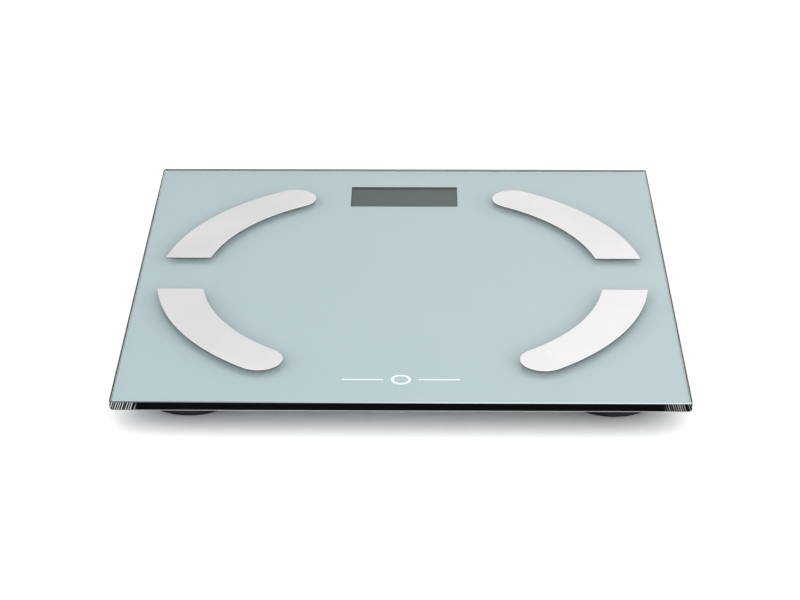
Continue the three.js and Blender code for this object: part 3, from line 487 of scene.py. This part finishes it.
# the upright walls get the painted shade
electrode_steel.set("Base Color", electrode_steel.blend(flat, PAINTED_WALL_SHADE, flat_steel_painted_light))
zinc_steel = metal("zinc plate", (0.62, 0.64, 0.66), 0.34)
load_cell_steel = metal("stamped steel", (0.46, 0.47, 0.49), 0.4, 0.1, 0.6 * MM)
cell_can = metal("nickel can", (0.74, 0.73, 0.70), 0.22, 0.05)
nickel_strip = metal("nickel strip", (0.68, 0.65, 0.58), 0.28, 0.06, 0.2 * MM, BRUSHED)
print("metals ready")

# %% [markdown]
# Moulded plastic isn't smooth: the tool leaves a fine grain that breaks up its gloss. Rubber is
# the same with a coarser grain and more roughness. Both also vary a little in gloss over larger
# patches, where hands and use have polished them. The frame round the display is a duller black
# than the pod, so that no light in the window's walls takes the eye off the display.

# %% Plastics, rubber and tape
PATCH_SIZE = 14 * MM
PATCH_LIGHTER = 1.12


def moulded(name, colour, roughness, grain=0.25 * MM, depth=0.02 * MM, variation=0.08):
    """Plastic or rubber with a moulded grain of this size and depth."""
    look = Look(name)
    patches = look.noise(PATCH_SIZE)
    look.set("Roughness", patches.step(0.3, 0.7, roughness - variation, roughness + variation))
    lighter = tuple(min(1.0, c * PATCH_LIGHTER) for c in colour)
    look.set("Base Color", look.blend(patches.step(0.35, 0.65), (*colour, 1.0), (*lighter, 1.0)))
    look.bump(look.noise(grain, detail=3.0), depth)
    return look


black_abs = moulded("black plastic", (0.007, 0.007, 0.0075), 0.48)
black_abs.set("Specular IOR Level", 0.35)
frame_black = moulded("matt black frame", (0.004, 0.004, 0.004), 0.85)
frame_black.set("Specular IOR Level", 0.05)
grey_abs = moulded("grey plastic", (0.10, 0.11, 0.115), 0.45)
black_rubber = moulded("black rubber", (0.012, 0.012, 0.012), 0.72, 0.5 * MM, 0.04 * MM)
adhesive_tape = moulded("foam tape", (0.03, 0.03, 0.033), 0.85, 0.15 * MM, 0.05 * MM)
white_insulation = moulded("white wire skin", (0.70, 0.69, 0.66), 0.38, 1.2 * MM, 0.01 * MM, 0.05)
red_insulation = moulded("red wire skin", (0.40, 0.03, 0.02), 0.38, 1.2 * MM, 0.01 * MM, 0.05)
chip_epoxy = moulded("black epoxy", (0.008, 0.008, 0.009), 0.22, 2.5 * MM, 0.05 * MM, 0.05)
print("plastics ready")

# %% [markdown]
# A blank liquid-crystal display is a grey-green sheet of glass with a satin polariser. The
# connector strip below it is silicone with thin dark layers, and the circuit board is green
# lacquer over copper tracks, which stand up a little and show as lighter lines.

# %% Display, connector strip and board
POLARISER = (0.041, 0.058, 0.054, 1.0)
POLARISER_HAZE = (0.047, 0.064, 0.060, 1.0)
SILICONE = (0.55, 0.36, 0.33, 1.0)
CARBON = (0.05, 0.04, 0.04, 1.0)
LAYER_PITCH = 0.5 * MM
LACQUER = (0.012, 0.085, 0.035, 1.0)
OVER_COPPER = (0.03, 0.19, 0.07, 1.0)
TRACK_PITCH = 2.6 * MM
TRACK_HEIGHT = 0.03 * MM
TRACK_BENDS = 3.0
BEND_SIZE = 9 * MM
HAZE_SIZE = 22 * MM
SATIN_GRAIN = 0.2 * MM
SATIN_RELIEF = 0.002 * MM

display_glass = Look("blank display", Roughness=0.24, IOR=1.45)
display_glass.set("Specular IOR Level", 0.1)
haze = display_glass.noise(HAZE_SIZE, detail=1.0)
display_glass.set("Base Color", display_glass.blend(haze, POLARISER, POLARISER_HAZE))
display_glass.bump(display_glass.noise(SATIN_GRAIN), SATIN_RELIEF)

zebra_silicone = Look("layered silicone", Roughness=0.6)
x = zebra_silicone.place()[0]
layers = (x * (2 * math.pi / LAYER_PITCH)).math("SINE").step(-0.2, 0.2)
zebra_silicone.set("Base Color", zebra_silicone.blend(layers, SILICONE, CARBON))

board_laminate = Look("green board", Roughness=0.32, IOR=1.5)
x = board_laminate.place()[0]
bends = board_laminate.noise(BEND_SIZE) * TRACK_BENDS
wave = ((x * (2 * math.pi / TRACK_PITCH)).math("SINE") + bends).math("FRACT")
tracks = wave.step(0.05, 0.25) * wave.step(0.4, 0.6, 1.0, 0.0)
board_laminate.set("Base Color", board_laminate.blend(tracks, LACQUER, OVER_COPPER))
board_laminate.bump(tracks, TRACK_HEIGHT)
print("display and board ready")

# %% [markdown]
# Every part names its finish in the record, so one loop gives them all out. A piece that is
# modelled further down stands for one of these parts, and looks its finish up in the same way.

# %% Give every part its finish
FINISHES = {
    "clear_glass": clear_glass,
    "backing_print": backing_print,
    "electrode_steel": electrode_steel,
    "zinc_steel": zinc_steel,
    "load_cell_steel": load_cell_steel,
    "cell_can": cell_can,
    "nickel_strip": nickel_strip,
    "black_abs": black_abs,
    "grey_abs": grey_abs,
    "black_rubber": black_rubber,
    "adhesive_tape": adhesive_tape,
    "display_glass": display_glass,
    "zebra_silicone": zebra_silicone,
    "board_laminate": board_laminate,
    "chip_epoxy": chip_epoxy,
    "white_insulation": white_insulation,
    "red_insulation": red_insulation,
}
slot_of = {entry["node"]: entry["material_slot"] for entry in frame["record"]["subparts"]}
for name, part in nodes.items():
    for material_slot in part.material_slots:
        material_slot.material = FINISHES[slot_of[name]].material
print("finishes given to", len(nodes), "parts")

# %% [markdown]
# ## Ways to make a piece
# Each piece starts as a primitive that is shaped in edit mode. These helpers do the steps that
# come back every time. An operator acts on all that is selected, so `choose` selects pieces with
# nothing else, and `begin` does the same for a new primitive. `pick` selects by place, and `turned`
# follows a profile: it extrudes a circle from one height to the next and scales it to the next
# radius, as a lathe does. `close_up` puts the piece's place into its mesh. `complete` hands it
# over: it gets its finish and rides on the body of the part that it stands for.

# %% Modelling helpers
DOUBLES = 0.002 * MM
SHARP = math.radians(40)


def choose(*pieces):
    """Selects just these pieces and makes the last of them the active one."""
    bpy.ops.object.select_all(action="DESELECT")
    for piece in pieces:
        piece.select_set(True)
        bpy.context.view_layer.objects.active = piece


def begin(name, add, **settings):
    """Adds a primitive, with nothing else selected, and opens it in edit mode."""
    bpy.ops.object.select_all(action="DESELECT")
    add(enter_editmode=True, **settings)
    piece = bpy.context.object
    piece.name = piece.data.name = name
    return piece


def pick(test, kind="verts"):
    """Selects just the vertices, edges or faces that pass the test."""
    piece = bpy.context.object
    bpy.ops.mesh.select_mode(type={"verts": "VERT", "edges": "EDGE", "faces": "FACE"}[kind])
    bpy.ops.mesh.select_all(action="DESELECT")
    mesh = bmesh.from_edit_mesh(piece.data)
    for element in getattr(mesh, kind):
        if test(element):
            element.select_set(True)
    mesh.select_flush_mode()
    bmesh.update_edit_mesh(piece.data)


def close_up():
    """Merges doubled vertices, points the faces outwards and leaves edit mode."""
    bpy.ops.mesh.select_mode(type="VERT")
    bpy.ops.mesh.select_all(action="SELECT")
    bpy.ops.mesh.remove_doubles(threshold=DOUBLES)
    bpy.ops.mesh.normals_make_consistent(inside=False)
    bpy.ops.object.mode_set(mode="OBJECT")
    bpy.ops.object.transform_apply(location=True, rotation=True, scale=True)


def modify(piece, kind, **settings):
    """Adds a modifier and applies it."""
    modifier = piece.modifiers.new(kind.lower(), kind)
    for key, value in settings.items():
        setattr(modifier, key, value)
    bpy.ops.object.modifier_apply(modifier=modifier.name)


def middle_of(node):
    """Where the middle of a CAD part lies, seen from above."""
    low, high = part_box(node)
    return (low.x + high.x) / 2, (low.y + high.y) / 2


def turned(name, centre, profile, segments=96):
    """A turned solid: the profile's points are radius and height in millimetres."""
    x, y = centre
    radius, height = profile[0]
    piece = begin(
        name,
        bpy.ops.mesh.primitive_circle_add,
        vertices=segments,
        radius=radius * MM,
        fill_type="NGON",
        location=(x, y, height * MM),
    )
    for next_radius, next_height in profile[1:]:
        rise = (0, 0, (next_height - height) * MM)
        bpy.ops.mesh.extrude_region_move(TRANSFORM_OT_translate={"value": rise})
        grow = next_radius / radius
        bpy.ops.transform.resize(value=(grow, grow, 1), center_override=(x, y, next_height * MM))
        radius, height = next_radius, next_height
    close_up()
    return piece


def complete(piece, node, angle=35, flat=False):
    """Gives a piece its finish and lets it ride with the CAD part that it stands for.

    Edges sharper than the angle, in degrees, stay sharp, and flat faces can be kept flat."""
    choose(piece)
    bpy.ops.object.shade_smooth_by_angle(angle=math.radians(angle))
    if flat:
        modify(piece, "WEIGHTED_NORMAL", keep_sharp=True)
    piece.data.materials.clear()
    piece.data.materials.append(FINISHES[slot_of[node]].material)
    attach(piece, body_of(nodes[node])[0])
    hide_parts(node)
    return len(piece.data.polygons)


print("modelling helpers ready")

# %% [markdown]
# ## The electrodes
# An electrode is stamped from 0.8 mm steel: a length of one big ring, square at one end and round
# at the other, with the press's small rounding along its rim. It could be drawn as a curve, but a
# spin shows better where the shape comes from. One edge, as long as the band is wide, sweeps round
# the ring's centre. Half of its last position then sweeps round its own middle, which makes the
# round end. A bisect trims the square end, and the sheet gets its thickness and its rounding last.
# The threaded stud that goes down through the glass is welded on below.

# %% Electrodes
RING_Y = -4.0 * MM
BAND_MEAN = 125.6 * MM
BAND_WIDTH = 25.6 * MM
SWEEP_STEPS = 64
TIP_STEPS = 32
STEEL = 0.8 * MM
RIM_ROUNDING = 0.14 * MM
# the stud is turned, so its sizes are in millimetres
STUD_RADIUS = 1.5
STUD_TOP = 20.3
STUD_POINT = 0.6
STUD_CHAMFER = 0.4
THREAD_TOP = 19.5
THREAD_PITCH = 0.5
THREAD_DEPTH = 0.18


def band(name, end):
    """The flat band at the right, towards the far side for end 1 and the near side for end -1."""
    low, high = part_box("electrode_rear_right" if end > 0 else "electrode_front_right")
    cut = low.y if end > 0 else high.y
    tip_reach = (high.y if end > 0 else -low.y) - BAND_WIDTH / 2 - end * RING_Y
    sweep = math.asin(tip_reach / BAND_MEAN)
    start = (BAND_MEAN, RING_Y, 0)
    piece = begin(name, bpy.ops.mesh.primitive_plane_add, size=BAND_WIDTH, location=start)

    # only one edge of the plane is kept, in line with the ring's centre and with a point halfway
    pick(lambda v: v.co.y < 0)
    bpy.ops.mesh.delete(type="VERT")
    pick(lambda v: True)
    bpy.ops.transform.translate(value=(0, -BAND_WIDTH / 2, 0))
    bpy.ops.mesh.subdivide(number_cuts=1)

    # it sweeps round the ring's centre: this operator turns clockwise for a positive angle
    pick(lambda v: True)
    bpy.ops.mesh.spin(steps=SWEEP_STEPS, angle=-end * sweep, center=(0, RING_Y, 0), axis=(0, 0, 1))

    # the outer half of its last position turns round the tip
    tip = Vector((math.cos(sweep) * BAND_MEAN, RING_Y + end * math.sin(sweep) * BAND_MEAN, 0))
    local_tip = tip - Vector(start)
    outward = Vector((math.cos(sweep), end * math.sin(sweep), 0)) * BAND_WIDTH / 2
    ends = (local_tip, local_tip + outward)
    pick(lambda v: min((v.co - e).length for e in ends) < 0.01 * MM)
    bpy.ops.mesh.spin(steps=TIP_STEPS, angle=-end * math.pi, center=tip, axis=(0, 0, 1))

    # the square end is trimmed, and the sheet turned face up
    bpy.ops.mesh.select_all(action="SELECT")
    bpy.ops.mesh.remove_doubles(threshold=DOUBLES)
    bpy.ops.mesh.bisect(
        plane_co=(0, cut, 0), plane_no=(0, end, 0), clear_inner=True, clear_outer=False, use_fill=False
    )
    bpy.ops.mesh.select_all(action="SELECT")
    bpy.ops.mesh.normals_make_consistent(inside=False)
    mesh = bmesh.from_edit_mesh(piece.data)
    if sum(face.normal.z for face in mesh.faces) < 0:
        bpy.ops.mesh.flip_normals()

    # it goes up to the top of the steel, and grows down from there
    bpy.ops.transform.translate(value=(0, 0, high.z))
    bpy.ops.object.mode_set(mode="OBJECT")
    bpy.ops.object.transform_apply(location=True, rotation=True, scale=True)
    modify(piece, "SOLIDIFY", thickness=STEEL, offset=-1.0)
    limit = {"limit_method": "ANGLE", "angle_limit": math.radians(50)}
    modify(piece, "BEVEL", width=RIM_ROUNDING, segments=3, **limit)
    return piece


def stud(name, centre, bottom):
    """A threaded stud from inside the steel down to the height called bottom."""
    profile = [(STUD_RADIUS, STUD_TOP), (STUD_RADIUS, THREAD_TOP)]
    crest = THREAD_TOP - THREAD_PITCH
    while crest > bottom + STUD_POINT:
        profile += [(STUD_RADIUS - THREAD_DEPTH, crest + THREAD_PITCH / 2), (STUD_RADIUS, crest)]
        crest -= THREAD_PITCH
    profile += [(STUD_RADIUS - STUD_CHAMFER, bottom)]
    return turned(name, centre, profile, segments=24)


def mirrored(piece, name):
    """A copy with its own mesh, on the other side of the middle."""
    choose(piece)
    bpy.ops.object.duplicate(linked=False)
    twin = bpy.context.object
    twin.name = twin.data.name = name
    bpy.ops.object.mode_set(mode="EDIT")
    bpy.ops.mesh.select_all(action="SELECT")
    bpy.ops.transform.resize(value=(-1, 1, 1), center_override=(0, 0, 0))
    close_up()
    return twin


for end, end_name in ((1, "rear"), (-1, "front")):
    sheet = band(f"steel_{end_name}_right", end)
    stud_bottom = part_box(f"electrode_{end_name}_right")[0].z / MM
    pin = stud("pin", middle_of(f"electrode_nut_{end_name}_right"), stud_bottom)
    choose(pin, sheet)
    bpy.ops.object.join()
    twin = mirrored(sheet, f"steel_{end_name}_left")
    for electrode, side in ((sheet, "right"), (twin, "left")):
        faces = complete(electrode, f"electrode_{end_name}_{side}", flat=True)
        print(end_name, side, "electrode with", faces, "faces")

# %% [markdown]
# ## The feet
# Each foot is a black moulded cap with a rubber pad pressed into its underside. The cap has a
# rounded lower rim, a step where its neck goes up into the holder, a clip ring that keeps it in,
# and a boss in the middle that bears on the load cell. The pad has ring grooves so that it grips a
# wet floor. Both are round all over, so they are turned.

# %% Foot caps and pads
# radius and height in millimetres: round the lower rim, up the wall and the neck, over the clip
# ring, down inside and up the boss
CAP_PROFILE = [
    (25.2, 1.35), (25.2, 0.95), (25.35, 0.8), (25.65, 0.8), (25.85, 0.88), (25.96, 1.05), (26.0, 1.3),
    (26.0, 4.2), (25.94, 4.42), (25.8, 4.55), (25.6, 4.6), (25.35, 4.6), (25.2, 4.75), (25.2, 7.35),
    (25.9, 7.35), (26.1, 7.5), (26.1, 7.85), (25.7, 8.2), (25.3, 8.25), (23.9, 8.25), (23.7, 8.1),
    (23.7, 3.4), (23.5, 2.95), (23.0, 2.75), (5.6, 2.75), (5.1, 2.95), (4.85, 3.4),
    (4.1, 9.7), (3.7, 10.05),
]
# down the wall and in across the underside, with a groove at each of the radii
PAD_PROFILE = [(25.0, 1.3), (25.0, 0.5), (24.9, 0.2), (24.65, 0.04), (24.3, 0.0)]
GROOVE_RADII = (21.5, 17.5, 13.5, 9.5)
GROOVE_DEPTH = 0.45
GROOVE_FLOOR = 0.5
GROOVE_MOUTH = 0.7
for groove in GROOVE_RADII:
    PAD_PROFILE += [(groove + GROOVE_MOUTH, 0.0), (groove + GROOVE_FLOOR, GROOVE_DEPTH)]
    PAD_PROFILE += [(groove - GROOVE_FLOOR, GROOVE_DEPTH), (groove - GROOVE_MOUTH, 0.0)]
PAD_PROFILE += [(5.0, 0.0)]

for corner in CORNERS:
    centre = middle_of("foot_pad_" + corner)
    cap = turned("cap_" + corner, centre, CAP_PROFILE)
    pad = turned("pad_" + corner, centre, PAD_PROFILE)
    cap_faces = complete(cap, "foot_cap_" + corner)
    pad_faces = complete(pad, "foot_pad_" + corner, angle=30)
    print(corner, "foot at", [round(c / MM, 1) for c in centre], "with", cap_faces + pad_faces, "faces")

# %% [markdown]
# ## Moulded parts with soft edges
# The holders, the pod, the door, the raceways and the other small parts already have their true
# shapes in the frame. What they lack is the small rounding that every mould and press leaves, and
# which catches the light along an edge. Each is copied, its loose triangles are merged back into
# flat faces, and a bevel rounds the edges that are sharp.

# %% Soft-edged copies
def merged_copy(name, node):
    """A copy of a CAD part as one closed skin, open in edit mode."""
    piece = bpy.data.objects.new(name, nodes[node].data.copy())
    piece.data.name = name
    scene.collection.objects.link(piece)
    choose(piece)
    bpy.ops.object.mode_set(mode="EDIT")
    bpy.ops.mesh.select_all(action="SELECT")
    bpy.ops.mesh.remove_doubles(threshold=DOUBLES)
    return piece


def softened(node, width):
    """A copy of a CAD part with its sharp edges rounded by this width in millimetres."""
    piece = merged_copy("soft_" + node, node)
    bpy.ops.mesh.dissolve_limited(angle_limit=math.radians(1))
    bpy.ops.object.mode_set(mode="OBJECT")
    modify(piece, "BEVEL", width=width * MM, segments=2, limit_method="ANGLE", angle_limit=SHARP)
    return complete(piece, node, flat=True)


# the width of each rounding in millimetres
EDGE_ROUNDING = {
    "pod_housing": 0.3,
    "battery_door": 0.15,
    "unit_button": 0.2,
    "lcd_bezel_frame": 0.15,
    "wire_channel_left": 0.25,
    "wire_channel_right": 0.25,
    "circuit_board": 0.08,
    "tact_switch": 0.15,
    "board_screw_left": 0.08,
    "board_screw_right": 0.08,
    "coin_cell": 0.15,
    "zebra_strip": 0.15,
}
for corner in CORNERS:
    EDGE_ROUNDING["foot_holder_" + corner] = 0.25
    EDGE_ROUNDING["load_cell_" + corner] = 0.15
    EDGE_ROUNDING["electrode_nut_" + corner] = 0.15
for node, width in EDGE_ROUNDING.items():
    print(node, "with", softened(node, width), "faces")

# only its finish tells the display's frame from the pod, which has the same slot
bpy.data.objects["soft_lcd_bezel_frame"].data.materials[0] = frame_black.material

# %% [markdown]
# ## The display
# The panel is two sheets of glass with a polariser on top that stops short of the edge, and the
# lower sheet is longer, because its contacts are on that ledge. A cube of the panel's size is cut
# down to that by insets and extrusions of its top face.

# %% Display panel
LEDGE = 0.9 * MM
POLARISER_STEP = 0.2 * MM
POLARISER_MARGIN = 0.55 * MM
PANEL_ROUNDING = 0.06 * MM


def top_level():
    """The height of the highest face."""
    mesh = bmesh.from_edit_mesh(bpy.context.object.data)
    return max(face.calc_center_median().z for face in mesh.faces)


def raise_top(inset, step):
    """Insets the highest face and lifts the inner part."""
    level = top_level() - 0.1 * MM
    pick(lambda f: f.normal.z > 0.9 and f.calc_center_median().z >= level, "faces")
    bpy.ops.mesh.inset(thickness=inset)
    bpy.ops.mesh.extrude_region_move(TRANSFORM_OT_translate={"value": (0, 0, step)})


low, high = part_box("lcd_panel")
middle = (low + high) / 2
half_thick = (high.z - low.z) / 2
panel = begin("panel", bpy.ops.mesh.primitive_cube_add, size=1, location=middle, scale=high - low)
bpy.ops.object.mode_set(mode="OBJECT")
bpy.ops.object.transform_apply(location=True, rotation=True, scale=True)
bpy.ops.object.mode_set(mode="EDIT")
pick(lambda f: f.normal.z > 0.9, "faces")
bpy.ops.transform.translate(value=(0, 0, -half_thick))
raise_top(LEDGE, half_thick - POLARISER_STEP)
raise_top(POLARISER_MARGIN, POLARISER_STEP)
close_up()
modify(panel, "BEVEL", width=PANEL_ROUNDING, segments=2, limit_method="ANGLE", angle_limit=SHARP)
print("display panel with", complete(panel, "lcd_panel", flat=True), "faces")

# %% [markdown]
# ## The leads
# A lead is a round, soft strand, and the frame's leads are tubes with few sides and stiff kinks.
# A subdivision surface rounds both without moving the lead from its route. The ring terminals of
# the electrodes' leads must keep their crisp stamped edges, so the edges that are sharp there get
# a crease first, and the surface leaves those alone.

# %% Leads
CREASE_ANGLE = math.radians(70)


def rounded_lead(node, levels=2):
    """A copy of a lead with a smooth skin."""
    lead = merged_copy("smooth_" + node, node)
    bpy.ops.mesh.tris_convert_to_quads()
    pick(lambda e: len(e.link_faces) == 2 and e.calc_face_angle() > CREASE_ANGLE, "edges")
    bpy.ops.transform.edge_crease(value=1.0)
    bpy.ops.object.mode_set(mode="OBJECT")
    modify(lead, "SUBSURF", levels=levels, render_levels=levels)
    return complete(lead, node, angle=50)


for corner in CORNERS:
    faces = [rounded_lead(kind + corner) for kind in ("load_cell_lead_", "electrode_lead_")]
    print(corner, "leads with", faces, "faces")
